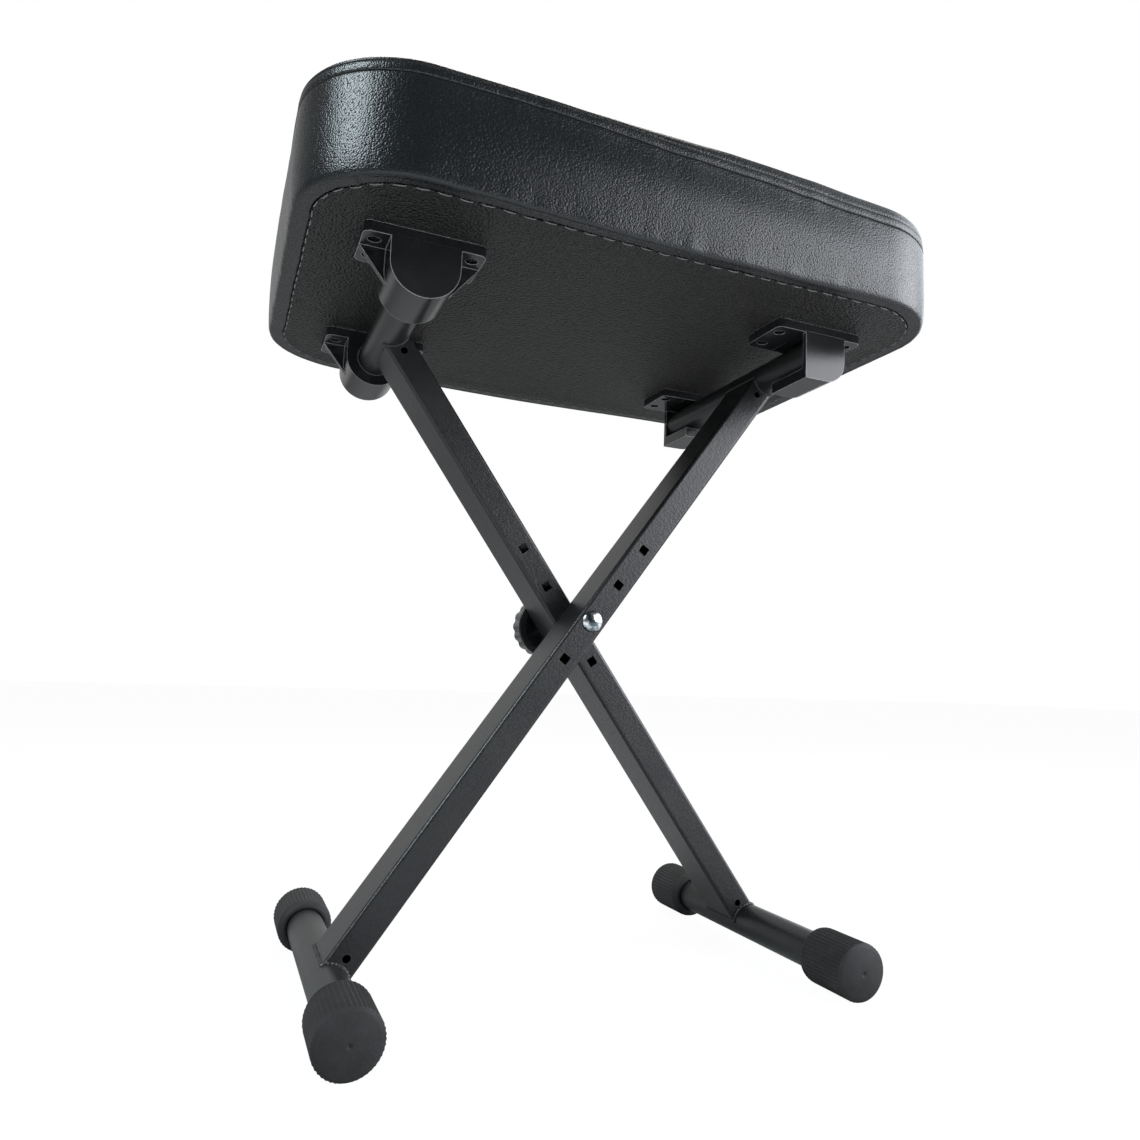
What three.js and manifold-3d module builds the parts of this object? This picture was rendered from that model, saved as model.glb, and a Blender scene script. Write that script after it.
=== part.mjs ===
// Folding keyboard bench: a padded seat on a single-braced cross frame.
// Millimetres. +X runs along the seat, +Y runs to its back, +Z is up, and the origin is on the
// floor under the middle of the seat.
import * as THREE from 'three';
import { mergeVertices } from 'three/addons/utils/BufferGeometryUtils.js';
import Module from 'manifold-3d';

// Clearances shared by every piece
const fitGap = 0.3;
const overrun = 1;

// Cross frame
const openHalfAngle = THREE.MathUtils.degToRad(35.5);
const upperArm = 252;
const lowerArm = 281;
const legWidth = 20.5;
const legDepth = 44;
const legWall = 1.5;
const legCornerRadius = 3;
const legSpacing = 1.6;
const tubeRadius = 12.7;
const tubeWall = 1.5;
const holePitch = 33.7;
const holeSteps = [2, 1, 0, -1];
const squareHole = 6.5;
const ventRadius = 2.5;
const ventFromTube = 17.5;

// Pivot bolt and its knob
const boltRadius = 2.9;
const boltNeck = 5.9;
const boltNeckLength = 4;
const boltHeadRadius = 7.7;
const boltHeadHeight = 3.6;
const spacerRadius = 9;
const washerRadius = 9;
const washerThickness = 1.2;
const knobRadius = 25;
const knobLobeDepth = 1.2;
const knobLobes = 16;
const knobThickness = 21.5;
const knobLip = 2.5;
const knobHubRadius = 9;
const knobWall = 3.5;
const knobRecess = 7;
const knobRibs = 7;
const knobRibWidth = 2;
const insertRadius = 6;
const insertLength = 9;

// Rubber foot caps
const footSpan = 285.5;
const capRadius = 19;
const capFlat = 0.4;
const capLength = 50;
const capFloor = 5;
const capDome = 2.4;
const capEdgeRound = 2;
const capShoulder = 5;

// Seat brackets
const bracketSpan = 232;
const bracketDepth = 45;
const bracketEndWall = 4;
const cupRadius = 21.5;
const flangeHalfWidth = 37.5;
const flangeThickness = 7;
const flangeCornerRadius = 5;
const gussetThickness = 4;
const gussetFoot = 10;
const hookCornerRadius = 16.5;
const hookMouthReach = 13.5;
const tubeClearance = 0.5;
const earHoleInset = 7.5;
const earHoleShares = [0.24, 0.76];

// Bracket screws and tube plugs
const screwRadius = 2;
const screwLength = 16;
const screwTip = 3;
const screwHeadRadius = 3.7;
const screwHeadHeight = 2.2;
const counterboreDepth = 3.2;
const plugFlange = 2;
const plugLength = 12;
const plugDimple = 0.8;

// Padded seat
const seatEndOverhang = 42;
const seatSideOverhang = 59.6;
const seatCornerRadius = 70;
const seamHeight = 57;
const rollHeight = 65.5;
const crownHeight = 79;
const sideBow = 2.4;
const coverThickness = 1.2;
const undersideInset = 12;
const boardInset = 10;
const boardThickness = 12;
const cornerSteps = 6;
const sideSteps = 3;

// Fineness of round pieces
const tubeSides = 28;
const smallSides = 8;
const arcSteps = 6;

// Places worked out from the sizes above
const axleHeight = capRadius - capFlat;
const boltHeight = axleHeight + lowerArm * Math.cos(openHalfAngle);
const topTubeHeight = boltHeight + upperArm * Math.cos(openHalfAngle);
const topTubeX = upperArm * Math.sin(openHalfAngle);
const baseTubeX = lowerArm * Math.sin(openHalfAngle);
const legCenterY = (legSpacing + legDepth) / 2;
const legOuterY = legSpacing / 2 + legDepth;
const socketRadius = tubeRadius + tubeClearance;
const seatUnderside = topTubeHeight + socketRadius + flangeThickness;
const topTubeLength = bracketSpan - 2 * (bracketEndWall + tubeClearance + plugFlange);
const baseTubeLength = footSpan - 2 * (capFloor + fitGap);
const tubeBore = tubeRadius - tubeWall;
const seatHalfLength = topTubeX + flangeHalfWidth + seatEndOverhang;
const seatHalfWidth = bracketSpan / 2 + seatSideOverhang;
const boardBottom = coverThickness + fitGap;
const boardTop = boardBottom + boardThickness;
const earHoleX = flangeHalfWidth - earHoleInset;

const wasm = await Module();
wasm.setup();

// Booleans
function solidOf(geometry) {
  const plain = geometry.clone();
  plain.deleteAttribute('normal');
  plain.deleteAttribute('uv');
  const merged = mergeVertices(plain);
  return new wasm.Manifold(new wasm.Mesh({
    numProp: 3,
    vertProperties: new Float32Array(merged.attributes.position.array),
    triVerts: new Uint32Array(merged.index.array),
  }));
}

function geometryOf(solid) {
  const mesh = solid.getMesh();
  const geometry = new THREE.BufferGeometry();
  geometry.setAttribute('position', new THREE.BufferAttribute(mesh.vertProperties, 3));
  geometry.setIndex(new THREE.BufferAttribute(mesh.triVerts, 1));
  geometry.computeVertexNormals();
  return geometry;
}

function shapeFrom(added, removed = []) {
  let result = solidOf(added[0]);
  for (const geometry of added.slice(1)) result = result.add(solidOf(geometry));
  for (const geometry of removed) result = result.subtract(solidOf(geometry));
  return geometryOf(result);
}

// Basic forms
function rod(radius, start, end, sides = tubeSides) {
  const geometry = new THREE.CylinderGeometry(radius, radius, end - start, sides);
  return geometry.translate(0, (start + end) / 2, 0);
}

function turned(profile, sides = tubeSides) {
  const points = profile.map(([radius, along]) => new THREE.Vector2(radius, along));
  return new THREE.LatheGeometry(points, sides);
}

function hollowRod(inner, outer, start, end, sides = tubeSides) {
  return turned([[inner, start], [outer, start], [outer, end], [inner, end], [inner, start]], sides);
}

function slab(minX, maxX, minY, maxY, minZ, maxZ) {
  const geometry = new THREE.BoxGeometry(maxX - minX, maxY - minY, maxZ - minZ);
  return geometry.translate((minX + maxX) / 2, (minY + maxY) / 2, (minZ + maxZ) / 2);
}

function roundedRectangle(length, width, radius) {
  const x = length / 2 - radius;
  const y = width / 2 - radius;
  const shape = new THREE.Shape();
  shape.absarc(x, y, radius, 0, Math.PI / 2);
  shape.absarc(-x, y, radius, Math.PI / 2, Math.PI);
  shape.absarc(-x, -y, radius, Math.PI, 1.5 * Math.PI);
  shape.absarc(x, -y, radius, 1.5 * Math.PI, 2 * Math.PI);
  shape.closePath();
  return shape;
}

function plate(shape, bottom, thickness, steps = arcSteps) {
  const options = { depth: thickness, bevelEnabled: false, curveSegments: steps };
  return new THREE.ExtrudeGeometry(shape, options).translate(0, 0, bottom);
}

// An outline drawn in X and Z, carried along Y
function carriedAlongY(shape, start, end, steps = arcSteps) {
  const options = { depth: end - start, bevelEnabled: false, curveSegments: steps };
  return new THREE.ExtrudeGeometry(shape, options).rotateX(Math.PI / 2).translate(0, end, 0);
}

function outlineOf(points) {
  return new THREE.Shape(points.map(([x, z]) => new THREE.Vector2(x, z)));
}

// A wheel-like outline whose radius swings between two values, with one lobe pointing down
function lobedOutline(radius, depth, count, sharesOfLobe) {
  const points = [];
  for (let lobe = 0; lobe < count; lobe += 1) {
    for (const [turnShare, depthShare] of sharesOfLobe) {
      const angle = (2 * Math.PI * (lobe + turnShare)) / count - Math.PI / 2;
      const reach = radius - depth * depthShare;
      points.push([reach * Math.cos(angle), reach * Math.sin(angle)]);
    }
  }
  return outlineOf(points);
}

// Legs: rectangular tubes, cut round at both ends for the cross tubes
function makeLeg() {
  const outline = roundedRectangle(legWidth, legDepth, legCornerRadius);
  const inside = [legWidth - 2 * legWall, legDepth - 2 * legWall, legCornerRadius - legWall];
  outline.holes.push(roundedRectangle(...inside));
  const body = plate(outline, -lowerArm, lowerArm + upperArm, 3);
  const cuts = [upperArm, -lowerArm].map(
    (height) => rod(tubeRadius + fitGap, -legDepth, legDepth).translate(0, 0, height),
  );
  const wallReach = legWall + overrun;
  const half = squareHole / 2;
  for (const step of holeSteps) {
    const height = step * holePitch;
    const front = slab(-half, half, -wallReach, wallReach, -half, half);
    cuts.push(front.translate(0, -legDepth / 2, height));
    const back = rod(boltRadius + fitGap, -wallReach, wallReach, smallSides);
    cuts.push(back.translate(0, legDepth / 2, height));
  }
  for (const height of [upperArm - ventFromTube, ventFromTube - lowerArm]) {
    const vent = rod(ventRadius, -wallReach, wallReach, smallSides);
    cuts.push(vent.translate(0, -legDepth / 2, height));
  }
  return shapeFrom([body], cuts);
}

// Cross tubes and the plugs that close the upper ones
function makeTube(length) {
  return hollowRod(tubeBore, tubeRadius, -length / 2, length / 2);
}

function makeTubePlug() {
  const spigot = tubeBore - fitGap;
  const dimple = plugDimple * 3;
  return turned([
    [0, plugDimple], [dimple, 0], [tubeRadius - plugDimple, 0], [tubeRadius, plugDimple],
    [tubeRadius, plugFlange], [spigot, plugFlange], [spigot, plugLength], [0, plugLength],
  ], 2 * smallSides);
}

// Rubber foot cap: its domed closed end starts at y = 0 and its mouth is at capLength
function makeFootCap() {
  const mouth = tubeRadius + fitGap;
  const shoulderStart = capLength - capShoulder;
  const cap = turned([
    [0, 0], [capRadius * 0.6, capDome * 0.35], [capRadius - capEdgeRound, capDome],
    [capRadius - capEdgeRound * 0.3, capDome + capEdgeRound * 0.4],
    [capRadius, capDome + capEdgeRound], [capRadius, shoulderStart],
    [capRadius - capShoulder * 0.25, capLength - capShoulder * 0.35],
    [capRadius - capShoulder * 0.7, capLength], [mouth, capLength], [mouth, capFloor], [0, capFloor],
  ]);
  const ground = slab(-capRadius, capRadius, -capRadius, capLength + overrun, -2 * capRadius, -axleHeight);
  return shapeFrom([cap], [ground]);
}

// Pivot bolt: a domed head, a square neck and a plain shank along +Y from the leg's face
function makePivotBolt() {
  const shankEnd = 2 * legOuterY + washerThickness + 2 * fitGap + knobThickness - knobWall;
  const shank = turned([
    [0, -boltHeadHeight], [boltHeadRadius * 0.45, -boltHeadHeight * 0.9],
    [boltHeadRadius * 0.8, -boltHeadHeight * 0.55], [boltHeadRadius, -fitGap * 2],
    [boltHeadRadius, 0], [boltRadius, 0], [boltRadius, shankEnd - boltRadius / 2],
    [boltRadius / 2, shankEnd], [0, shankEnd],
  ], 2 * smallSides);
  const half = boltNeck / 2;
  const neck = slab(-half, half, -boltHeadHeight / 2, boltNeckLength, -half, half);
  return shapeFrom([shank, neck]);
}

// Knob: a lobed grip behind a round lip, hollow towards the leg, with ribs round its hub
function makeKnobBody() {
  const lobeShares = [[0, 0], [0.3, 0.25], [0.5, 1], [0.7, 0.25]];
  const lobes = lobedOutline(knobRadius, knobLobeDepth, knobLobes, lobeShares);
  const lip = rod(knobRadius, 0, knobLip);
  const grip = carriedAlongY(lobes, knobLip / 2, knobThickness);
  const hollow = knobRadius - knobLobeDepth - knobWall;
  const recess = rod(hollow, -overrun, knobRecess);
  const hub = rod(knobHubRadius, knobRecess / 4, knobThickness - overrun);
  const ribs = [];
  for (let rib = 0; rib < knobRibs; rib += 1) {
    const half = knobRibWidth / 2;
    const bar = slab(0, hollow + overrun, knobRecess / 2, knobRecess + overrun, -half, half);
    ribs.push(bar.rotateY((2 * Math.PI * rib) / knobRibs));
  }
  const socket = rod(insertRadius + fitGap, -overrun, insertLength + fitGap);
  const tail = rod(boltRadius + fitGap, 0, knobThickness - knobWall + 2 * fitGap, smallSides);
  const hollowed = shapeFrom([lip, grip], [recess]);
  return shapeFrom([hollowed, hub, ...ribs], [socket, tail]);
}

// Brackets: y = 0 is the outer end wall, the tube's axis is at x = 0, z = 0
function flangePlate() {
  const outline = roundedRectangle(2 * flangeHalfWidth, bracketDepth, flangeCornerRadius);
  return plate(outline, socketRadius, flangeThickness, 3).translate(0, bracketDepth / 2, 0);
}

function gusset(side, wallX) {
  const top = socketRadius + flangeThickness / 2;
  const reach = Math.sign(side) * flangeHalfWidth;
  const wall = Math.sign(side) * wallX;
  const outline = outlineOf([[0, top], [0, -gussetFoot], [wall, -gussetFoot],
    [reach, socketRadius], [reach, top]]);
  const start = (bracketDepth - gussetThickness) / 2;
  return carriedAlongY(side > 0 ? outline : outlineOf(outline.getPoints().reverse().map(
    (point) => [point.x, point.y],
  )), start, start + gussetThickness);
}

function earHolePlaces() {
  const places = [];
  for (const side of [-1, 1]) {
    for (const share of earHoleShares) places.push([side * earHoleX, share * bracketDepth]);
  }
  return places;
}

function screwCuts() {
  const cuts = [];
  for (const [x, y] of earHolePlaces()) {
    const through = rod(screwRadius + fitGap, 0, 2 * flangeThickness, smallSides);
    cuts.push(through.rotateX(Math.PI / 2).translate(x, y, socketRadius - overrun));
    const sunk = rod(screwHeadRadius + fitGap, 0, counterboreDepth + overrun, smallSides);
    cuts.push(sunk.rotateX(Math.PI / 2).translate(x, y, socketRadius - overrun));
  }
  return cuts;
}

function makeCupBracket() {
  const outline = new THREE.Shape();
  outline.moveTo(cupRadius, 0);
  outline.lineTo(cupRadius, socketRadius + overrun);
  outline.lineTo(-cupRadius, socketRadius + overrun);
  outline.lineTo(-cupRadius, 0);
  outline.absarc(0, 0, cupRadius, Math.PI, 2 * Math.PI);
  const cup = carriedAlongY(outline, 0, bracketDepth, 2 * arcSteps);
  const wallX = Math.sqrt(cupRadius ** 2 - gussetFoot ** 2);
  const gussets = [gusset(-1, wallX), gusset(1, wallX)];
  const socket = rod(socketRadius, bracketEndWall, bracketDepth + overrun);
  return shapeFrom([cup, flangePlate(), ...gussets], [socket, ...screwCuts()]);
}

function makeHookBracket() {
  const outline = new THREE.Shape();
  outline.moveTo(-hookMouthReach, socketRadius + overrun);
  outline.lineTo(-hookMouthReach, -cupRadius);
  outline.lineTo(cupRadius - hookCornerRadius, -cupRadius);
  outline.absarc(
    cupRadius - hookCornerRadius, hookCornerRadius - cupRadius, hookCornerRadius, 1.5 * Math.PI, 2 * Math.PI,
  );
  outline.lineTo(cupRadius, socketRadius + overrun);
  const hook = carriedAlongY(outline, 0, bracketDepth);
  const socket = rod(socketRadius, bracketEndWall, bracketDepth + overrun);
  const mouthEnd = -hookMouthReach - overrun;
  const mouth = slab(mouthEnd, 0, bracketEndWall, bracketDepth + overrun, -socketRadius, socketRadius);
  return shapeFrom([hook, flangePlate(), gusset(1, cupRadius)], [socket, mouth, ...screwCuts()]);
}

function makeScrew() {
  const geometry = turned([
    [0, -screwHeadHeight], [screwHeadRadius * 0.7, -screwHeadHeight * 0.85],
    [screwHeadRadius, 0], [screwRadius, 0],
    [screwRadius, screwLength - screwTip], [0, screwLength],
  ], smallSides);
  return geometry.rotateX(Math.PI / 2);
}

// Seat: every layer is a stack of rounded outlines joined ring to ring
function seatRing(inset, height, size = 1) {
  const halfLength = (seatHalfLength - inset) * size;
  const halfWidth = (seatHalfWidth - inset) * size;
  const radius = (seatCornerRadius - inset) * size;
  const bow = sideBow * size;
  const centerX = halfLength - radius;
  const centerY = halfWidth - radius;
  const ring = [];
  const corners = [[1, 1], [-1, 1], [-1, -1], [1, -1]];
  corners.forEach(([signX, signY], quarter) => {
    for (let step = 0; step <= cornerSteps; step += 1) {
      const angle = ((quarter + step / cornerSteps) * Math.PI) / 2;
      ring.push([
        signX * centerX + radius * Math.cos(angle),
        signY * centerY + radius * Math.sin(angle),
        height,
      ]);
    }
    const alongX = signX * signY > 0;
    for (let step = 1; step < sideSteps; step += 1) {
      const share = step / sideSteps;
      const outward = bow * Math.sin(Math.PI * share) ** 2;
      const run = 1 - 2 * share;
      ring.push(alongX
        ? [signX * centerX * run, signY * (halfWidth + outward), height]
        : [signX * (halfLength + outward), signY * centerY * run, height]);
    }
  });
  return ring;
}

// Joins rings into a closed skin. A closed loop of rings makes a hollow band; an open one is
// shut by a point at each end.
function skin(rings, closedLoop) {
  const count = rings[0].length;
  const positions = rings.flat(2);
  const triangles = [];
  const bands = closedLoop ? rings.length : rings.length - 1;
  for (let band = 0; band < bands; band += 1) {
    const low = band * count;
    const high = ((band + 1) % rings.length) * count;
    for (let step = 0; step < count; step += 1) {
      const next = (step + 1) % count;
      triangles.push(low + step, low + next, high + next, low + step, high + next, high + step);
    }
  }
  if (!closedLoop) {
    const last = (rings.length - 1) * count;
    const bottom = positions.length / 3;
    positions.push(0, 0, rings[0][0][2], 0, 0, rings[rings.length - 1][0][2]);
    for (let step = 0; step < count; step += 1) {
      const next = (step + 1) % count;
      triangles.push(bottom, next, step, bottom + 1, last + step, last + next);
    }
  }
  const geometry = new THREE.BufferGeometry();
  geometry.setAttribute('position', new THREE.Float32BufferAttribute(positions, 3));
  geometry.setIndex(triangles);
  geometry.computeVertexNormals();
  return geometry;
}

// The side band's outer face from the underside stitch up to the seam: insets and heights are
// shares of the underside inset and of the seam's height
const bandShares = [[1, 0], [0.7, 0], [0.4, 0.004], [0.24, 0.035], [0.12, 0.1], [0.05, 0.2],
  [0, 0.46], [0.01, 0.78], [0.05, 0.95], [0.1, 1]];
// The top panel from the seam over the rolled edge: insets as above, heights as shares of the
// rise from the seam to the roll
const rollShares = [[0.1, 0.02], [0.02, 0.35], [0.02, 0.75], [0.12, 1.18], [0.35, 1.53],
  [0.7, 1.86]];
// The crown: sizes as shares of the roll's outline, heights as shares of the rise to the middle
const crownShares = [[0.93, 0.36], [0.8, 0.66], [0.6, 0.86], [0.35, 0.96], [0.1, 1]];

function bandRings(depth) {
  return bandShares.map(([insetShare, heightShare], index) => {
    const inward = index < 3 ? 0 : depth;
    const lift = index < 4 ? depth : 0;
    return seatRing(insetShare * undersideInset + inward, heightShare * seamHeight + lift);
  });
}

function topRings(depth) {
  const rise = rollHeight - seamHeight;
  const edge = rollShares.map(([insetShare, heightShare]) => seatRing(
    insetShare * undersideInset + depth,
    seamHeight + heightShare * rise - (heightShare > 1 ? depth : 0),
  ));
  const [lastInsetShare, lastRiseShare] = rollShares[rollShares.length - 1];
  const rollTop = seamHeight + lastRiseShare * rise;
  const crown = crownShares.map(([size, heightShare]) => seatRing(
    lastInsetShare * undersideInset + depth,
    rollTop + heightShare * (crownHeight - rollTop) - depth,
    size,
  ));
  return [...edge, ...crown];
}

function makeSideBand() {
  const outer = bandRings(0);
  const inner = bandRings(coverThickness).reverse();
  return skin([...outer, ...inner], true);
}

function makeTopCover() {
  const outer = topRings(fitGap / 2);
  const inner = topRings(coverThickness + fitGap / 2).reverse();
  return skin([...inner, ...outer], false);
}

// Where the foam narrows between the seam's two edges, as a share of the underside inset
const waistShare = 0.25;

function makeFoam() {
  const depth = coverThickness + fitGap * 2;
  const base = [bandShares[5], bandShares[6], bandShares[7]].map(
    ([insetShare, heightShare]) => seatRing(
      insetShare * undersideInset + depth,
      Math.max(heightShare * seamHeight, boardTop + fitGap),
    ),
  );
  const waist = seatRing(waistShare * undersideInset + depth, seamHeight);
  const over = topRings(depth + coverThickness).slice(2);
  return skin([...base, waist, ...over], false);
}

function seatSheet(inset, bottom, thickness) {
  const outline = outlineOf(seatRing(inset, bottom));
  const sheet = plate(outline, bottom, thickness);
  const cuts = screwPlaces().map(({ x, y }) => rod(
    screwRadius + fitGap, bottom - overrun, bottom + thickness + overrun, smallSides,
  ).rotateX(Math.PI / 2).translate(x, y, 0));
  return shapeFrom([sheet], cuts);
}

// Where the four brackets stand: which tube, which end, and how they are turned
const bracketPlaces = [
  { name: 'cup_bracket_front', x: -topTubeX, end: -1, make: 'cup' },
  { name: 'cup_bracket_back', x: -topTubeX, end: 1, make: 'cup' },
  { name: 'hook_bracket_front', x: topTubeX, end: -1, make: 'hook' },
  { name: 'hook_bracket_back', x: topTubeX, end: 1, make: 'hook' },
];

function screwPlaces() {
  return bracketPlaces.flatMap((place) => earHolePlaces().map(([x, y], index) => ({
    name: `${place.name}_screw_${index + 1}`,
    x: place.x + x,
    y: place.end * (bracketSpan / 2 - y),
  })));
}

// Materials
const finishes = {
  leatherette: new THREE.MeshStandardMaterial({ color: 0x15171b, roughness: 0.45 }),
  undersideLeatherette: new THREE.MeshStandardMaterial({ color: 0x241f1e, roughness: 0.7 }),
  foam: new THREE.MeshStandardMaterial({ color: 0xd9cf9c, roughness: 0.95 }),
  plywood: new THREE.MeshStandardMaterial({ color: 0xb98f5c, roughness: 0.8 }),
  bracketPlastic: new THREE.MeshStandardMaterial({ color: 0x121214, roughness: 0.38 }),
  powderCoat: new THREE.MeshStandardMaterial({ color: 0x17171a, roughness: 0.42, metalness: 0.2 }),
  plugPlastic: new THREE.MeshStandardMaterial({ color: 0x0e0e10, roughness: 0.6 }),
  rubber: new THREE.MeshStandardMaterial({ color: 0x131314, roughness: 0.75 }),
  zinc: new THREE.MeshStandardMaterial({ color: 0xc9c9c6, roughness: 0.3, metalness: 0.95 }),
  blackZinc: new THREE.MeshStandardMaterial({ color: 0x1b1b1d, roughness: 0.45, metalness: 0.7 }),
  nylon: new THREE.MeshStandardMaterial({ color: 0xd8d6cc, roughness: 0.5 }),
  knobPlastic: new THREE.MeshStandardMaterial({ color: 0x101012, roughness: 0.35 }),
};

const bench = new THREE.Group();

function place(parent, name, geometry, material, x = 0, y = 0, z = 0) {
  const mesh = new THREE.Mesh(geometry, material);
  mesh.name = name;
  mesh.position.set(x, y, z);
  parent.add(mesh);
  return mesh;
}

// The two legs lean opposite ways about the bolt
function addLeg(name, lean, y) {
  const group = new THREE.Group();
  group.position.set(0, y, boltHeight);
  group.rotation.y = lean;
  place(group, name, makeLeg(), finishes.powderCoat);
  bench.add(group);
}

function addFrame() {
  addLeg('front_leg', openHalfAngle, -legCenterY);
  addLeg('rear_leg', -openHalfAngle, legCenterY);
  const sides = [['cup', -1], ['hook', 1]];
  for (const [name, side] of sides) {
    const x = side * topTubeX;
    place(bench, `${name}_tube`, makeTube(topTubeLength), finishes.powderCoat, x, 0, topTubeHeight);
    for (const [end, sign] of [['front', -1], ['back', 1]]) {
      const plugY = sign * (topTubeLength / 2 + plugFlange);
      const plug = makeTubePlug();
      if (sign > 0) plug.rotateZ(Math.PI);
      place(bench, `${name}_tube_plug_${end}`, plug, finishes.plugPlastic, x, plugY, topTubeHeight);
    }
  }
  for (const [name, side] of [['left', -1], ['right', 1]]) {
    const x = side * baseTubeX;
    place(bench, `${name}_base_tube`, makeTube(baseTubeLength), finishes.powderCoat, x, 0, axleHeight);
    for (const [end, sign] of [['front', -1], ['back', 1]]) {
      const cap = makeFootCap();
      if (sign > 0) cap.rotateZ(Math.PI);
      place(bench, `${name}_foot_cap_${end}`, cap, finishes.rubber, x, (sign * footSpan) / 2, axleHeight);
    }
  }
}

function addPivot() {
  const bolt = makePivotBolt().rotateY(openHalfAngle);
  place(bench, 'pivot_bolt', bolt, finishes.zinc, 0, -legOuterY, boltHeight);
  const spacerHalf = legSpacing / 2 - fitGap;
  const spacer = hollowRod(boltRadius + fitGap, spacerRadius, -spacerHalf, spacerHalf);
  place(bench, 'leg_spacer', spacer, finishes.nylon, 0, 0, boltHeight);
  const washer = hollowRod(boltRadius + fitGap, washerRadius, 0, washerThickness);
  place(bench, 'knob_washer', washer, finishes.zinc, 0, legOuterY, boltHeight);
  const knobY = legOuterY + washerThickness + fitGap;
  place(bench, 'knob_body', makeKnobBody(), finishes.knobPlastic, 0, knobY, boltHeight);
  const insert = hollowRod(boltRadius + fitGap, insertRadius, 0, insertLength, smallSides);
  place(bench, 'knob_insert', insert, finishes.zinc, 0, knobY, boltHeight);
}

function addBrackets() {
  for (const { name, x, end, make } of bracketPlaces) {
    const geometry = make === 'cup' ? makeCupBracket() : makeHookBracket();
    if (end > 0) geometry.scale(1, -1, 1);
    if (end > 0) geometry.setIndex(Array.from(geometry.index.array).reverse());
    place(bench, name, geometry, finishes.bracketPlastic, x, (end * bracketSpan) / 2, topTubeHeight);
  }
  const screwSeat = topTubeHeight + socketRadius + counterboreDepth;
  for (const { name, x, y } of screwPlaces()) {
    place(bench, name, makeScrew(), finishes.blackZinc, x, y, screwSeat);
  }
}

function addSeat() {
  const cover = seatSheet(undersideInset + fitGap, 0, coverThickness);
  place(bench, 'seat_underside_cover', cover, finishes.undersideLeatherette, 0, 0, seatUnderside);
  const board = seatSheet(boardInset, boardBottom, boardThickness);
  place(bench, 'seat_board', board, finishes.plywood, 0, 0, seatUnderside);
  place(bench, 'seat_foam', makeFoam(), finishes.foam, 0, 0, seatUnderside);
  place(bench, 'seat_side_band', makeSideBand(), finishes.leatherette, 0, 0, seatUnderside);
  place(bench, 'seat_top_cover', makeTopCover(), finishes.leatherette, 0, 0, seatUnderside);
}

addFrame();
addPivot();
addBrackets();
addSeat();

export default bench;
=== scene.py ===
import math

import bpy
from mathutils import Matrix, Vector, noise
from mathutils.kdtree import KDTree


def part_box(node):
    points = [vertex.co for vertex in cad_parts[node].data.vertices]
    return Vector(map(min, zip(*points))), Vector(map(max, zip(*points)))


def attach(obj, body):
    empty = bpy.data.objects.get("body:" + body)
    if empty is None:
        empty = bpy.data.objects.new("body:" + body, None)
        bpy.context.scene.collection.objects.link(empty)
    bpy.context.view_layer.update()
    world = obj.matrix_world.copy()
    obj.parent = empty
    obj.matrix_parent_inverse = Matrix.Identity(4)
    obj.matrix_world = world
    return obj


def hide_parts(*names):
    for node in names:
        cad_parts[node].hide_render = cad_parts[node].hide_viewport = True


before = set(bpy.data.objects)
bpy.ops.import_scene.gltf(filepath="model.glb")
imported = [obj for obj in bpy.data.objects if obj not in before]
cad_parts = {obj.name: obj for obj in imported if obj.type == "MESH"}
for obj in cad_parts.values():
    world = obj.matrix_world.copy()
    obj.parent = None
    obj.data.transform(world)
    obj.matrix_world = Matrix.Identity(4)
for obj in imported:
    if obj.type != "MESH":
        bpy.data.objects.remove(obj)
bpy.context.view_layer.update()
print("frame loaded:", len(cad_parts), "nodes")

mm = 0.001
past = 1 * mm  # how far a cutting shape runs past what it cuts
stageScene = bpy.context.scene


def lengths(**values):  # given in millimetres, kept in metres
    return {name: value * mm for name, value in values.items()}


# Shader sockets that take part in sums

class Wire:
    def __init__(self, finish, socket):
        self.finish = finish
        self.socket = socket

    def __add__(self, other): return self.finish.sum("ADD", self, other)
    def __sub__(self, other): return self.finish.sum("SUBTRACT", self, other)
    def __mul__(self, other): return self.finish.sum("MULTIPLY", self, other)
    def __radd__(self, other): return self.finish.sum("ADD", other, self)
    def __rsub__(self, other): return self.finish.sum("SUBTRACT", other, self)
    def __rmul__(self, other): return self.finish.sum("MULTIPLY", other, self)

    def clip(self): return self.finish.sum("ADD", self, 0.0, clamp=True)

    def ramp(self, low, high):  # 0 below low, 1 above high
        return ((self - low) * (1.0 / (high - low))).clip()


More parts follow.
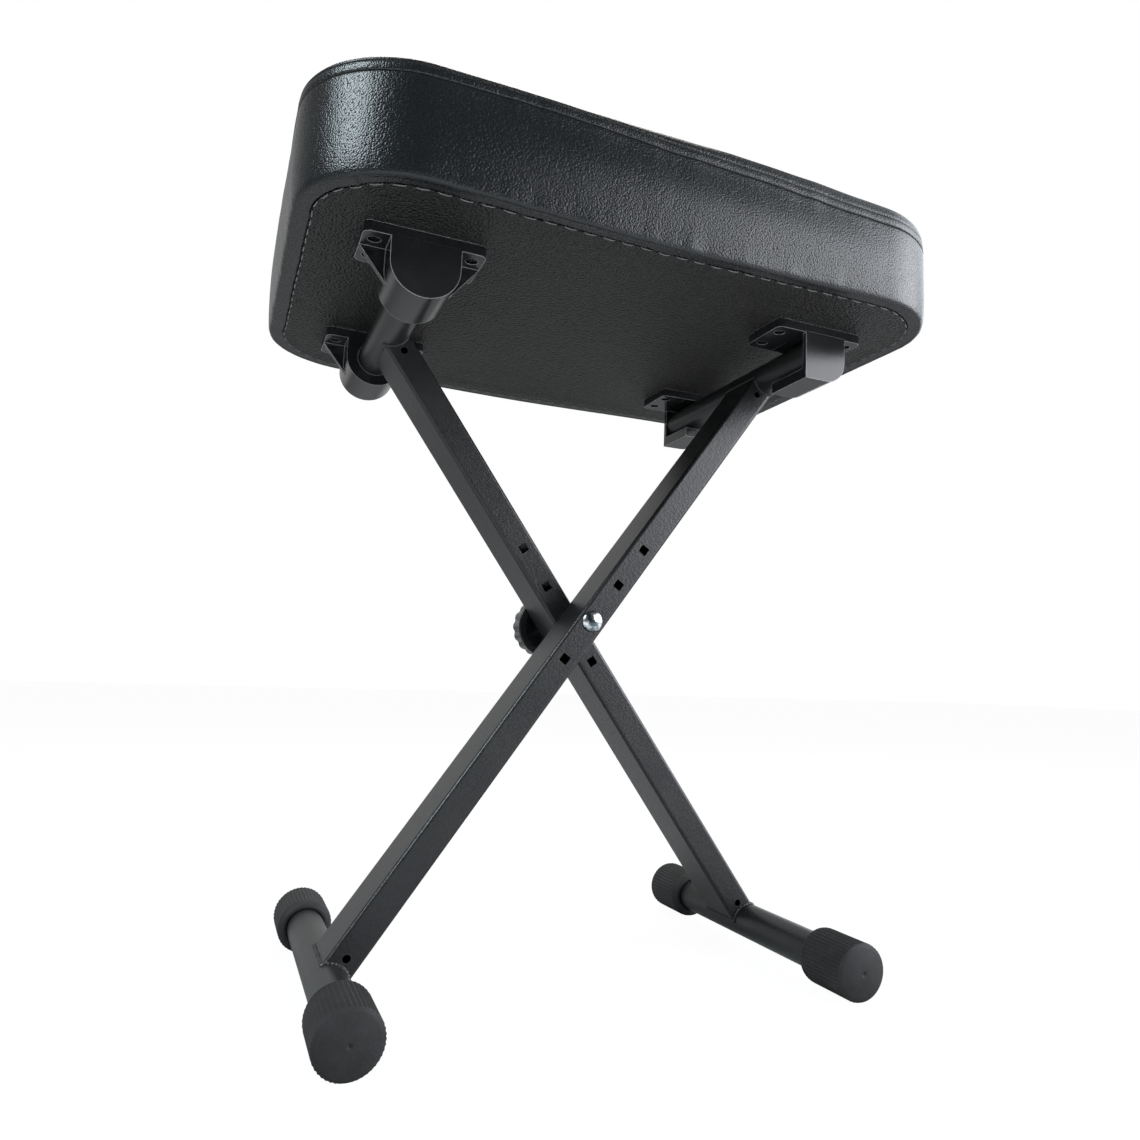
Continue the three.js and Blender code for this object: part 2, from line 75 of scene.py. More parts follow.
class Finish:
    def __init__(self, name, world=None):  # a material, or the nodes of a world
        self.material = world or bpy.data.materials.new(name)
        self.material.use_nodes = True
        self.tree = self.material.node_tree
        self.tree.nodes.clear()
        self.output = self.tree.nodes.new("ShaderNodeOutputWorld" if world else "ShaderNodeOutputMaterial")

    def node(self, kind, settings=None, sockets=None, out=0):
        made = self.tree.nodes.new(kind)
        for setting, value in (settings or {}).items():
            setattr(made, setting, value)
        for socket, value in (sockets or {}).items():
            self.put(made.inputs[socket], value)
        return Wire(self, made.outputs[out])

    def put(self, socket, value):
        if isinstance(value, Wire):
            self.tree.links.new(value.socket, socket)
        elif isinstance(value, tuple) and socket.type == "RGBA":
            socket.default_value = (*value, 1.0)
        else:
            socket.default_value = value

    def sum(self, operation, first, second, clamp=False):
        settings = {"operation": operation, "use_clamp": clamp}
        return self.node("ShaderNodeMath", settings, {0: first, 1: second})

    def place(self, scale=(1.0, 1.0, 1.0)):  # object coordinates, in metres
        coordinates = self.node("ShaderNodeTexCoord", out="Object")
        return self.node("ShaderNodeMapping", {}, {"Vector": coordinates, "Scale": scale})

    def noise(self, where, scale, detail=2.0, roughness=0.5, distortion=0.0):
        sockets = {"Vector": where, "Scale": scale, "Detail": detail, "Roughness": roughness,
                   "Distortion": distortion}
        return self.node("ShaderNodeTexNoise", {}, sockets)

    def cells(self, where, scale):  # how far each place is from the middle of its cell
        return self.node("ShaderNodeTexVoronoi", {}, {"Vector": where, "Scale": scale}, "Distance")

    def axis(self, where, letter): return self.node("ShaderNodeSeparateXYZ", {}, {0: where}, letter)

    def seen(self):  # 1 where the camera looks straight at it or through something clear
        camera = self.node("ShaderNodeLightPath", out="Is Camera Ray")
        clear = self.node("ShaderNodeLightPath", out="Is Transmission Ray")
        return self.sum("MAXIMUM", camera, clear)

    def mix(self, share, first, second):  # two colours
        made = self.node("ShaderNodeMix", {"data_type": "RGBA"}, {}, 2)
        inputs = made.socket.node.inputs
        self.put(inputs[0], share)
        self.put(inputs[6], first)
        self.put(inputs[7], second)
        return made

    def wobble(self, where, scale, amount):  # the place pushed about by a coloured noise
        cloud = self.node("ShaderNodeTexNoise", {}, {"Vector": where, "Scale": scale}, "Color")
        centred = self.node("ShaderNodeVectorMath", {"operation": "SUBTRACT"}, {0: cloud, 1: (0.5,) * 3})
        pushed = self.node("ShaderNodeVectorMath", {"operation": "SCALE"}, {0: centred, "Scale": amount})
        return self.node("ShaderNodeVectorMath", {"operation": "ADD"}, {0: where, 1: pushed})

    def edges(self, radius):  # above 0 on open edges and 0 on flats
        worn = self.node("ShaderNodeBevel", {"samples": 6}, {"Radius": radius})
        flat = self.node("ShaderNodeNewGeometry", out="Normal")
        dot = self.node("ShaderNodeVectorMath", {"operation": "DOT_PRODUCT"}, {0: worn, 1: flat}, "Value")
        return 1.0 - dot

    def shade(self, colour, rough, height, depth, specular=0.5, metallic=0.0, sheen=0.0):
        bump = self.node("ShaderNodeBump", {}, {"Height": height, "Distance": depth})
        sockets = {"Base Color": colour, "Roughness": rough, "Normal": bump, "Metallic": metallic,
                   "Specular IOR Level": specular, "Sheen Weight": sheen}
        made = self.node("ShaderNodeBsdfPrincipled", {}, sockets)
        self.put(self.output.inputs["Surface"], made)
        return self.material


# Finishes

def leatherette(name, look):
    finish = Finish(name)
    where = finish.place()
    bent = finish.wobble(where, look["wobbleScale"], look["wobble"])
    pebbles = finish.cells(bent, look["grainScale"])
    fine = finish.noise(where, look["grainScale"] * look["fineness"])
    rise = finish.noise(where, look["riseScale"], 3.0)
    cloud = finish.noise(where, look["cloudScale"], 4.0)
    height = 1.0 - pebbles * pebbles * 1.8 + fine * 0.12 + rise * look["rise"]
    # painted shade: the pebbles' hollows are coloured darker than their tops
    colour = finish.mix(pebbles.ramp(0.2, 0.6), look["raised"], look["valley"])
    colour = finish.mix(cloud.ramp(0.35, 0.75) * 0.5, colour, look["faded"])
    rough = look["roughness"] + pebbles * 0.12 + (cloud - 0.5) * 0.1
    return finish.shade(colour, rough.clip(), height, look["depth"], look["specular"])


bandLook = {"raised": (0.0088, 0.0112, 0.0135), "valley": (0.0035, 0.0045, 0.0055),
            "faded": (0.013, 0.0155, 0.018), "roughness": 0.22, "specular": 0.5, "grainScale": 880.0,
            "fineness": 2.2, "riseScale": 75.0, "cloudScale": 9.0, "wobbleScale": 360.0,
            "wobble": 0.5 * mm, "rise": 0.3, "depth": 0.105 * mm}
undersideLook = {**bandLook, "raised": (0.0145, 0.0132, 0.0115), "valley": (0.005, 0.0045, 0.004),
                 "faded": (0.018, 0.0165, 0.0145), "roughness": 0.3, "specular": 0.46,
                 "grainScale": 560.0, "rise": 1.0, "depth": 1.0 * mm}


def mottled(name, look):  # one noise varies colour, gloss and relief
    finish = Finish(name)
    cloud = finish.noise(finish.place(), look["scale"], look["detail"])
    colour = finish.mix(cloud, look["dark"], look["pale"])
    rough = look["roughness"] + cloud * look["spread"]
    return finish.shade(colour, rough, cloud, look["depth"], metallic=look["metallic"], sheen=look["sheen"])


threadLook = {"scale": 2600.0, "detail": 2.0, "dark": (0.10, 0.10, 0.105), "pale": (0.26, 0.26, 0.265),
              "roughness": 0.55, "spread": 0.2, "depth": 0.1 * mm, "metallic": 0.0, "sheen": 0.3}
seamThreadLook = {**threadLook, "dark": (0.012, 0.012, 0.013), "pale": (0.06, 0.06, 0.062)}
screwLook = {"scale": 700.0, "detail": 3.0, "dark": (0.012, 0.012, 0.013), "pale": (0.03, 0.03, 0.032),
             "roughness": 0.42, "spread": 0.2, "depth": 0.04 * mm, "metallic": 0.6, "sheen": 0.0}
nylonLook = {"scale": 90.0, "detail": 3.0, "dark": (0.72, 0.70, 0.63), "pale": (0.80, 0.79, 0.73),
             "roughness": 0.45, "spread": 0.1, "depth": 0.05 * mm, "metallic": 0.0, "sheen": 0.0}


def powderCoat(name, look):
    finish = Finish(name)
    where = finish.place()
    peel = finish.noise(where, look["peelScale"], 2.0, 0.45)
    speck = finish.noise(where, look["speckScale"])
    dust = finish.noise(where, look["dustScale"], 5.0, 0.62)
    worn = finish.edges(look["edgeWidth"]).ramp(0.02, 0.16)
    colour = finish.mix(dust.ramp(0.42, 0.78), look["colour"], look["dusty"])
    colour = finish.mix(worn * dust.ramp(0.35, 0.65) * look["rub"], colour, look["edge"])
    rough = look["roughness"] + peel * 0.08 + dust * 0.08
    return finish.shade(colour, rough, peel + speck * 0.25, look["depth"])


coatLook = {"colour": (0.012, 0.0125, 0.014), "dusty": (0.021, 0.0205, 0.021), "edge": (0.13, 0.13, 0.135),
            "edgeWidth": 0.7 * mm, "rub": 0.6, "roughness": 0.27, "peelScale": 520.0,
            "speckScale": 2400.0, "dustScale": 24.0, "depth": 0.16 * mm}


def mouldedPlastic(name, look):
    finish = Finish(name)
    where = finish.place()
    spark = finish.noise(where, look["sparkScale"])
    flow = finish.noise(where, look["flowScale"], 3.0, 0.55)
    rub = finish.edges(look["edgeWidth"]).ramp(0.02, 0.2)
    colour = finish.mix(flow.ramp(0.3, 0.75), look["colour"], look["paler"])
    # rubbed edges, and on the brackets a painted highlight: the near-white edge colour stands in for light
    # caught along the moulded edges
    colour = finish.mix(rub * look["rub"], colour, look["edge"])
    rough = look["roughness"] + flow * 0.1 - rub * 0.1
    return finish.shade(colour, rough, spark, look["depth"], look["specular"])


# the brackets' near-white edge colour is a painted highlight along their edges; plugs and knob keep only a
# faint rub
bracketLook = {"colour": (0.0095, 0.010, 0.0115), "paler": (0.015, 0.0155, 0.0165),
               "edge": (0.62, 0.63, 0.64), "edgeWidth": 0.8 * mm, "rub": 0.95, "roughness": 0.12,
               "specular": 0.5, "sparkScale": 1900.0, "flowScale": 38.0, "depth": 0.05 * mm}
plugLook = {**bracketLook, "edge": (0.2, 0.2, 0.21), "roughness": 0.5, "rub": 0.2, "depth": 0.08 * mm}
knobLook = {**plugLook, "colour": (0.008, 0.008, 0.009), "roughness": 0.2, "specular": 0.34,
            "depth": 0.05 * mm}


def capRubber(name, look):
    finish = Finish(name)
    where = finish.place()
    grit = finish.noise(where, look["gritScale"], 3.0, 0.6)
    bloom = finish.noise(where, look["bloomScale"], 4.0, 0.6)
    colour = finish.mix(bloom.ramp(0.4, 0.75), look["colour"], look["bloom"])
    colour = finish.mix(grit.ramp(0.62, 0.8) * 0.6, colour, look["grit"])
    return finish.shade(colour, look["roughness"] + bloom * 0.14, grit, look["depth"], look["specular"])


rubberLook = {"colour": (0.0125, 0.0122, 0.0128), "bloom": (0.027, 0.026, 0.028),
              "grit": (0.055, 0.052, 0.057), "gritScale": 1500.0, "bloomScale": 55.0,
              "roughness": 0.58, "specular": 0.45, "depth": 0.12 * mm}


def brightZinc(name, look):
    finish = Finish(name)
    where = finish.place()
    grain = finish.noise(where, look["grainScale"], 3.0)
    stain = finish.noise(where, look["stainScale"], 3.0)
    colour = finish.mix(stain.ramp(0.44, 0.58), look["colour"], look["stain"])
    rough = look["roughness"] + grain * 0.16
    return finish.shade(colour, rough, grain, look["depth"], metallic=1.0)


zincLook = {"colour": (0.78, 0.81, 0.84), "stain": (0.10, 0.14, 0.15), "grainScale": 900.0,
            "stainScale": 120.0, "roughness": 0.12, "depth": 0.02 * mm}


def rawPlywood(name, look):
    finish = Finish(name)
    grain = finish.noise(finish.place(look["stretch"]), look["grainScale"], 5.0, 0.6, 0.4)
    plies = finish.node("ShaderNodeTexWave", {"bands_direction": "Z"},
                        {"Vector": finish.place(), "Scale": look["plyScale"], "Distortion": 0.6})
    colour = finish.mix(grain, look["colour"], look["grain"])
    colour = finish.mix(plies * 0.35, colour, look["ply"])
    return finish.shade(colour, look["roughness"] + grain * 0.15, grain, look["depth"])


plywoodLook = {"colour": (0.62, 0.46, 0.27), "grain": (0.46, 0.31, 0.16), "ply": (0.36, 0.24, 0.13),
               "grainScale": 30.0, "stretch": (1.0, 12.0, 1.0), "plyScale": 160.0, "roughness": 0.7,
               "depth": 0.1 * mm}


finishes = {name: make(name, look) for name, make, look in (
    ("leatherette", leatherette, bandLook), ("undersideLeatherette", leatherette, undersideLook),
    ("stitchThread", mottled, threadLook), ("seamThread", mottled, seamThreadLook),
    ("powderCoat", powderCoat, coatLook), ("bracketPlastic", mouldedPlastic, bracketLook),
    ("plugPlastic", mouldedPlastic, plugLook), ("knobPlastic", mouldedPlastic, knobLook),
    ("capRubber", capRubber, rubberLook), ("brightZinc", brightZinc, zincLook),
    ("blackScrew", mottled, screwLook), ("whiteNylon", mottled, nylonLook),
    ("rawPlywood", rawPlywood, plywoodLook))}
print("finishes made:", len(finishes))


# Mesh building

def newPiece(name, points, faces):
    mesh = bpy.data.meshes.new(name)
    mesh.from_pydata([tuple(point) for point in points], [], faces)
    mesh.validate()
    piece = bpy.data.objects.new(name, mesh)
    stageScene.collection.objects.link(piece)
    return piece


def reshape(piece, kind, **settings):  # one modifier, applied
    modifier = piece.modifiers.new("step", kind)
    for setting, value in settings.items():
        setattr(modifier, setting, value)
    graph = bpy.context.evaluated_depsgraph_get()
    mesh = bpy.data.meshes.new_from_object(piece.evaluated_get(graph))
    piece.modifiers.clear()
    piece.data = mesh


def dress(piece, finish, body, replaced=(), sharp=32.0):
    piece.data.shade_smooth()
    piece.data.set_sharp_from_angle(angle=math.radians(sharp))
    reshape(piece, "WEIGHTED_NORMAL", keep_sharp=True)  # flats stay flat beside their bevels
    piece.data.materials.clear()
    piece.data.materials.append(finishes[finish])
    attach(piece, body)
    if replaced:
        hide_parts(*replaced)


def softenEdges(piece, width, segments, angle):
    reshape(piece, "BEVEL", width=width, segments=segments, limit_method="ANGLE",
            angle_limit=math.radians(angle), use_clamp_overlap=True)


def combine(piece, others, operation):
    for other in others:
        reshape(piece, "BOOLEAN", operation=operation, solver="MANIFOLD", object=other)
        bpy.data.objects.remove(other)


def ringed(rings):  # quads between rings of equal count
    count = len(rings[0])
    points = [point for ring in rings for point in ring]
    faces = [(row * count + step, row * count + (step + 1) % count,
              (row + 1) * count + (step + 1) % count, (row + 1) * count + step)
             for row in range(len(rings) - 1) for step in range(count)]
    return points, faces


def stacked(name, rings):  # rings shut by a point at each end
    points, faces = ringed(rings)
    count = len(rings[0])
    for row, flip in ((0, True), (len(rings) - 1, False)):
        middle = sum((Vector(point) for point in rings[row]), Vector()) / count
        points.append(middle)
        hub = len(points) - 1
        for step in range(count):
            edge = (row * count + step, row * count + (step + 1) % count)
            faces.append((hub, *reversed(edge)) if flip else (hub, *edge))
    return newPiece(name, points, faces)


def turned(profile, sides, ripple=None):  # rings of a (radius, y) profile turned about the y axis
    rings = []
    for index, (radius, along) in enumerate(profile):
        ring = []
        for step in range(sides):
            angle = -2.0 * math.pi * step / sides
            reach = radius - (ripple(step / sides, index) if ripple else 0.0)
            ring.append(Vector((reach * math.cos(angle), along, reach * math.sin(angle))))
        rings.append(ring)
    return rings


def hoop(centre, across, up, size, sides):  # a ring of points about a centre
    angles = [2 * math.pi * side / sides for side in range(sides)]
    return [centre + (across * math.cos(angle) + up * math.sin(angle)) * size for angle in angles]


def loopedPiece(name, rings):  # rings that close on themselves, such as a bush
    points, faces = ringed([*rings, rings[0]])
    count = len(rings[0])
    total = len(rings) * count
    points = points[:total]
    faces = [tuple(index % total for index in face) for face in faces]
    return newPiece(name, points, faces)


def prism(name, outline, start, end, way="y"):  # an (x, z) outline carried along y
    count = len(outline)
    points = [(x, y, z) for y in (start, end) for x, z in outline]
    faces = [(step, count + step, count + (step + 1) % count, (step + 1) % count) for step in range(count)]
    faces += [tuple(range(count)), tuple(reversed(range(count, 2 * count)))]
    piece = newPiece(name, points, faces)
    if way == "z":  # stood up: y becomes z
        piece.data.transform(Matrix.Rotation(math.radians(90.0), 4, "X") @ Matrix.Scale(-1.0, 4, (0, 0, 1)))
        piece.data.flip_normals()
    return piece


def arc(centreX, centreZ, radius, start, end, steps):
    angles = [math.radians(start + (end - start) * step / steps) for step in range(steps + 1)]
    return [(centreX + radius * math.cos(angle), centreZ + radius * math.sin(angle)) for angle in angles]


def roundedRectangle(width, depth, radius, steps=6):
    x, z = width / 2 - radius, depth / 2 - radius
    return [*arc(x, z, radius, 0, 90, steps), *arc(-x, z, radius, 90, 180, steps),
            *arc(-x, -z, radius, 180, 270, steps), *arc(x, -z, radius, 270, 360, steps)]


def block(name, minimum, maximum):
    (left, front, low), (right, back, high) = minimum, maximum
    return prism(name, [(left, low), (right, low), (right, high), (left, high)], front, back)


def pin(name, radius, start, end, sides=48, way="y"):
    piece = stacked(name, turned([(radius, start), (radius, end)], sides))
    if way == "z":
        piece.data.transform(Matrix.Rotation(math.radians(90.0), 4, "X"))
    return piece


def moved(piece, where, turn=None):
    matrix = Matrix.Translation(where) @ (turn if turn else Matrix.Identity(4))
    piece.data.transform(matrix)
    return piece


def middleOf(node):
    low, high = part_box(node)
    return (low + high) / 2


def outerFace(node, sign):  # where along y a node ends at the front (-1) or back (1)
    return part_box(node)[0 if sign < 0 else 1].y


# Places read from the frame
cupTube, hookTube = middleOf("cup_tube"), middleOf("hook_tube")
leftBase, rightBase = middleOf("left_base_tube"), middleOf("right_base_tube")
pivot = middleOf("leg_spacer")
upperArm = math.hypot(cupTube.x - pivot.x, cupTube.z - pivot.z)
lowerArm = math.hypot(leftBase.x - pivot.x, leftBase.z - pivot.z)
lean = math.atan2(hookTube.x - pivot.x, hookTube.z - pivot.z)


# Legs and cross tubes

leg = {"holeSteps": (2, 1, 0, -1),
       **lengths(width=20.5, depth=44, corner=2.6, wall=1.5, gap=1.6, holePitch=33.7, hole=6.5,
                 holeCorner=0.7, backHole=3.2, vent=2.6, ventFromTube=17.5, endGap=0.3, rim=0.35,
                 runOut=5)}
tube = {"sides": 96, **lengths(radius=12.7, wall=1.5, lip=0.4)}


def onLeg(piece, side, turn):  # from upright at the origin to its place about the bolt
    centreY = side * (leg["gap"] + leg["depth"]) / 2
    return moved(piece, (pivot.x, centreY, pivot.z), Matrix.Rotation(turn, 4, "Y"))


def legPiece(name, side, turn):
    bars = []
    for inset in (0.0, leg["wall"]):
        outline = roundedRectangle(leg["width"] - 2 * inset, leg["depth"] - 2 * inset,
                                   leg["corner"] - inset * 0.8)
        reach = 0.0 if inset == 0 else leg["runOut"]
        bars.append(prism(name, outline, -lowerArm - reach, upperArm + reach, "z"))
    body, hollow = bars
    cuts = [hollow]
    for height in (upperArm, -lowerArm):
        cuts.append(moved(pin("cope", tube["radius"] + leg["endGap"], -leg["depth"], leg["depth"]),
                          (0, 0, height)))
    wall = leg["wall"] * 2
    for step in leg["holeSteps"]:
        outline = roundedRectangle(leg["hole"], leg["hole"], leg["holeCorner"], 3)
        front = prism("hole", outline, -wall, wall)
        cuts.append(moved(front, (0, -leg["depth"] / 2, step * leg["holePitch"])))
        back = pin("hole", leg["backHole"], -wall, wall, 24)
        cuts.append(moved(back, (0, leg["depth"] / 2, step * leg["holePitch"])))
    for height in (upperArm - leg["ventFromTube"], leg["ventFromTube"] - lowerArm):
        vent = pin("vent", leg["vent"], -wall, wall, 24)
        cuts.append(moved(vent, (0, -leg["depth"] / 2, height)))
    combine(body, cuts, "DIFFERENCE")
    softenEdges(body, leg["rim"], 2, 40.0)
    return onLeg(body, side, turn)


weld = {"uneven": 0.25, "unevenScale": 130.0, "sides": 10, "steps": 10,
        **lengths(size=1.25, ripple=0.16, pitch=2.4)}


def weldBead(name, side, turn, height):
    halfWidth, halfDepth = leg["width"] / 2, leg["depth"] / 2
    away = 1 if height > 0 else -1  # the tube lies beyond the end of the leg
    radius = tube["radius"]
    swing = math.asin(min(1.0, halfWidth / radius))
    loop = []
    for sign in (-1, 1):
        for step in range(weld["steps"] + 1):
            angle = swing * (2 * step / weld["steps"] - 1) * -sign
            loop.append(Vector((radius * math.sin(angle), sign * halfDepth,
                                height - away * radius * math.cos(angle))))
    dense = []
    for start, end in zip(loop, loop[1:] + loop[:1]):
        pieces = max(1, round((end - start).length / (weld["pitch"] / 4)))
        dense += [start.lerp(end, part / pieces) for part in range(pieces)]
    rings = []
    travelled = 0.0
    for index, point in enumerate(dense):
        following, before = dense[(index + 1) % len(dense)], dense[index - 1]
        travelled += (point - before).length if index else 0.0
        along = (following - before).normalized()
        out = Vector((point.x, point.y, 0)).normalized()
        up = along.cross(out).normalized()
        out = up.cross(along)
        size = weld["size"] + weld["ripple"] * math.sin(2 * math.pi * travelled / weld["pitch"])
        size *= 0.9 + weld["uneven"] * noise.noise(point * weld["unevenScale"])
        rings.append(hoop(point, out, up, size, weld["sides"]))
    return onLeg(loopedPiece(name, rings), side, turn)


def crossTube(name):
    half = (outerFace(name, 1) - outerFace(name, -1)) / 2
    inner, outer = tube["radius"] - tube["wall"], tube["radius"]
    lip = tube["lip"]
    profile = [(inner + lip, -half), (outer - lip, -half), (outer, lip - half), (outer, half - lip),
               (outer - lip, half), (inner + lip, half), (inner, half - lip), (inner, lip - half)]
    return moved(loopedPiece(name + "_shell", turned(profile, tube["sides"])), middleOf(name))


for name, side, turn, body in (("front_leg", -1, lean, "front_frame"),
                               ("rear_leg", 1, -lean, "rear_frame")):
    dress(legPiece(name + "_shell", side, turn), "powderCoat", body, [name])
    for end, height in (("top", upperArm), ("bottom", -lowerArm)):
        dress(weldBead(f"{name}_{end}_weld", side, turn, height), "powderCoat", body)
for name, body in (("cup_tube", "rear_frame"), ("right_base_tube", "rear_frame"),
                   ("hook_tube", "front_frame"), ("left_base_tube", "front_frame")):
    dress(crossTube(name), "powderCoat", body, [name])
print("legs and cross tubes made")


# Tube plugs and foot caps

plug = lengths(flange=2, length=12, edge=0.8, dimple=5, play=0.3)


def atTubeEnd(piece, node, sign, axis):  # turned about at the back, so that it looks outward there too
    turn = Matrix.Rotation(math.pi, 4, "Z") if sign > 0 else None
    return moved(piece, (axis.x, outerFace(node, sign), axis.z), turn)


def plugPiece(node, sign):
    outer, spigot = tube["radius"], tube["radius"] - tube["wall"] - plug["play"]
    edge = plug["edge"]
    profile = [(0.2 * mm, 1.4 * mm), (plug["dimple"] * 0.7, 1.2 * mm), (plug["dimple"], 0.5 * mm),
               (plug["dimple"] * 1.25, 0.1 * mm), (outer - 2.4 * edge, 0), (outer - edge, 0.1 * mm),
               (outer - edge * 0.3, 0.35 * mm), (outer, edge), (outer, plug["flange"]),
               (spigot, plug["flange"]), (spigot, plug["length"])]
    return atTubeEnd(stacked(node + "_shell", turned(profile, 72)), node, sign, middleOf(node))


cap = {"ribs": 44, "stepsPerRib": 6,
       **lengths(radius=19, ground=18.6, length=50, dome=2.4, shoulder=5, ribDepth=0.75, floor=5, mouth=13)}


def capPiece(node, sign):
    radius, length = cap["radius"], cap["length"]
    disc = radius - 2.0 * mm
    plain = [(0.15 * mm, 0.9 * mm), (0.7 * mm, 0.7 * mm), (1.3 * mm, 0.12 * mm), (2.2 * mm, 0.0)]
    plain += [(disc * share, cap["dome"] * share ** 2.2) for share in (0.25, 0.4, 0.55, 0.7, 0.82, 0.92)]
    plain += [(disc, cap["dome"] * 0.96), (disc + 0.35 * mm, cap["dome"] + 0.35 * mm),
              (disc + 0.7 * mm, cap["dome"] + 0.45 * mm), (radius - 0.55 * mm, cap["dome"] + 0.75 * mm)]
    ribbed = [(radius, cap["dome"] + share * mm) for share in (1.5, 2.4, 3.6)]
    ribbed += [(radius, length * share) for share in (0.3, 0.5, 0.7)]
    ribbed += [(radius, length - cap["shoulder"] - share * mm) for share in (2.5, 1.0)]
    shoulder = [(radius - 0.1 * mm, length - cap["shoulder"]), (radius - 0.6 * mm, length - 3.6 * mm),
                (radius - 1.6 * mm, length - 2.0 * mm), (radius - 2.9 * mm, length - 0.7 * mm),
                (radius - 3.9 * mm, length), (cap["mouth"] + 0.5 * mm, length),
                (cap["mouth"], length - 0.5 * mm), (cap["mouth"], cap["floor"])]
    profile = plain + ribbed + shoulder
    first, last = len(plain), len(plain) + len(ribbed)

    def ribRipple(share, index):
        if not first - 1 <= index <= last:
            return 0.0
        swing = 0.5 - 0.5 * math.cos(2 * math.pi * share * cap["ribs"])
        fade = {first - 1: 0.0, first: 0.55, last - 1: 0.8, last: 0.25}.get(index, 1.0)
        return cap["ribDepth"] * fade * swing ** 0.7

    rings = turned(profile, cap["ribs"] * cap["stepsPerRib"], ribRipple)
    for ring in rings:
        for point in ring:
            point.z = max(point.z, -cap["ground"])
    axis = leftBase if node.startswith("left") else rightBase
    return atTubeEnd(stacked(node + "_shell", rings), node, sign, axis)


for end, sign in (("front", -1), ("back", 1)):
    for name, body in (("cup", "rear_frame"), ("hook", "front_frame")):
        node = f"{name}_tube_plug_{end}"
        dress(plugPiece(node, sign), "plugPlastic", body, [node])
    for name, body in (("left", "front_frame"), ("right", "rear_frame")):
        node = f"{name}_foot_cap_{end}"
        dress(capPiece(node, sign), "capRubber", body, [node], 50.0)
print("plugs and foot caps made")


# Pivot bolt and knob

bolt = {"domeAngle": math.radians(82.0), "domeSteps": 12, "domeShare": 0.86,
        **lengths(headRadius=7.7, headHeight=3.6, edge=0.5, shank=2.9)}


def boltPiece():
    low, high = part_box("pivot_bolt")
    radius, height = bolt["headRadius"], bolt["headHeight"]
    profile = []
    dome = bolt["domeAngle"]
    for step in range(1, bolt["domeSteps"] + 1):
        swing = dome * step / bolt["domeSteps"]
        profile.append((radius * math.sin(swing) / math.sin(dome),
                        height * (1 - math.cos(swing)) / (1 - math.cos(dome)) * bolt["domeShare"]))
    profile += [(radius, height * 0.93), (radius - bolt["edge"] * 0.4, height), (bolt["shank"], height)]
    profile += [(bolt["shank"], high.y - low.y - 1 * mm), (bolt["shank"] * 0.6, high.y - low.y)]
    piece = stacked("pivot_bolt_shell", turned(profile, 72))
    return moved(piece, (pivot.x, low.y, pivot.z))


knob = {"lobes": 16, "lobeSteps": 12, "sharpness": 1.6, "taper": 0.04, "ribs": 7,
        **lengths(radius=25, grip=24.5, lobeDepth=1.2, thickness=21.5, lip=3.4, wall=3.5, recess=7, hub=9,
                  ribWidth=2, insert=6.3, insertDepth=9.3, bore=3.2, edge=0.5)}


def lobed(radius, depth, count, steps, sharpness):
    outline = []
    for step in range(count * steps):
        swing = 0.5 - 0.5 * math.cos(2 * math.pi * step / steps)
        angle = 2 * math.pi * step / (count * steps) - math.pi / 2
        reach = radius - depth * swing ** sharpness
        outline.append((reach * math.cos(angle), reach * math.sin(angle)))
    return outline


def knobPiece():
    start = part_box("knob_body")[0].y
    outline = lobed(knob["grip"], knob["lobeDepth"], knob["lobes"], knob["lobeSteps"], knob["sharpness"])
    body = prism("knob_body_shell", outline, knob["lip"] / 2, knob["thickness"])
    for point in body.data.vertices:  # the grip narrows towards its back
        narrowed = 1.0 - knob["taper"] * point.co.y / knob["thickness"]
        point.co.x *= narrowed
        point.co.z *= narrowed
    hollow = knob["radius"] - knob["lobeDepth"] - knob["wall"]
    lip = pin("lip", knob["radius"], 0, knob["lip"], 144)
    softenEdges(lip, knob["edge"] * 2, 4, 60.0)
    combine(body, [lip], "UNION")
    combine(body, [pin("recess", hollow, -past, knob["recess"], 72)], "DIFFERENCE")
    added = [pin("hub", knob["hub"], knob["recess"] / 4, knob["thickness"] - past)]
    for rib in range(knob["ribs"]):
        half = knob["ribWidth"] / 2
        bar = block("rib", (0, knob["recess"] / 2, -half), (hollow + past, knob["recess"] + past, half))
        added.append(moved(bar, (0, 0, 0), Matrix.Rotation(2 * math.pi * rib / knob["ribs"], 4, "Y")))
    combine(body, added, "UNION")
    combine(body, [pin("socket", knob["insert"], -past, knob["insertDepth"], 32),
                   pin("tail", knob["bore"], 0, knob["thickness"] - knob["wall"] + 0.6 * mm, 24)],
            "DIFFERENCE")
    softenEdges(body, knob["edge"], 3, 35.0)
    return moved(body, (pivot.x, start, pivot.z))


dress(boltPiece(), "brightZinc", "front_frame", ["pivot_bolt"])
dress(knobPiece(), "knobPlastic", "knob", ["knob_body"])
print("bolt and knob made")


# Seat brackets and their screws

bracket = {"holeShares": (0.24, 0.76),
           **lengths(depth=45, endWall=4, reach=21.5, socket=13.2, halfWidth=37.5, flange=7,
                     flangeCorner=5, gusset=4, gussetFoot=10, hookCorner=16.5, mouth=13.5,
                     holeInset=7.5, screwHole=2.3, sunkHole=4.0, sunkDepth=3.2, edge=0.55)}


def flangePiece():
    outline = roundedRectangle(2 * bracket["halfWidth"], bracket["depth"], bracket["flangeCorner"])
    piece = prism("flange", outline, bracket["socket"], bracket["socket"] + bracket["flange"], "z")
    return moved(piece, (0, bracket["depth"] / 2, 0))


def gussetPiece(sign, wallX):
    top = bracket["socket"] + bracket["flange"] / 2
    foot = -bracket["gussetFoot"]
    outline = [(0, top), (0, foot), (sign * wallX, foot), (sign * bracket["halfWidth"], bracket["socket"]),
               (sign * bracket["halfWidth"], top)]
    if sign < 0:
        outline.reverse()
    start = (bracket["depth"] - bracket["gusset"]) / 2
    return prism("gusset", outline, start, start + bracket["gusset"])


def screwPlaces():
    return [(side * (bracket["halfWidth"] - bracket["holeInset"]), share * bracket["depth"])
            for side in (-1, 1) for share in bracket["holeShares"]]


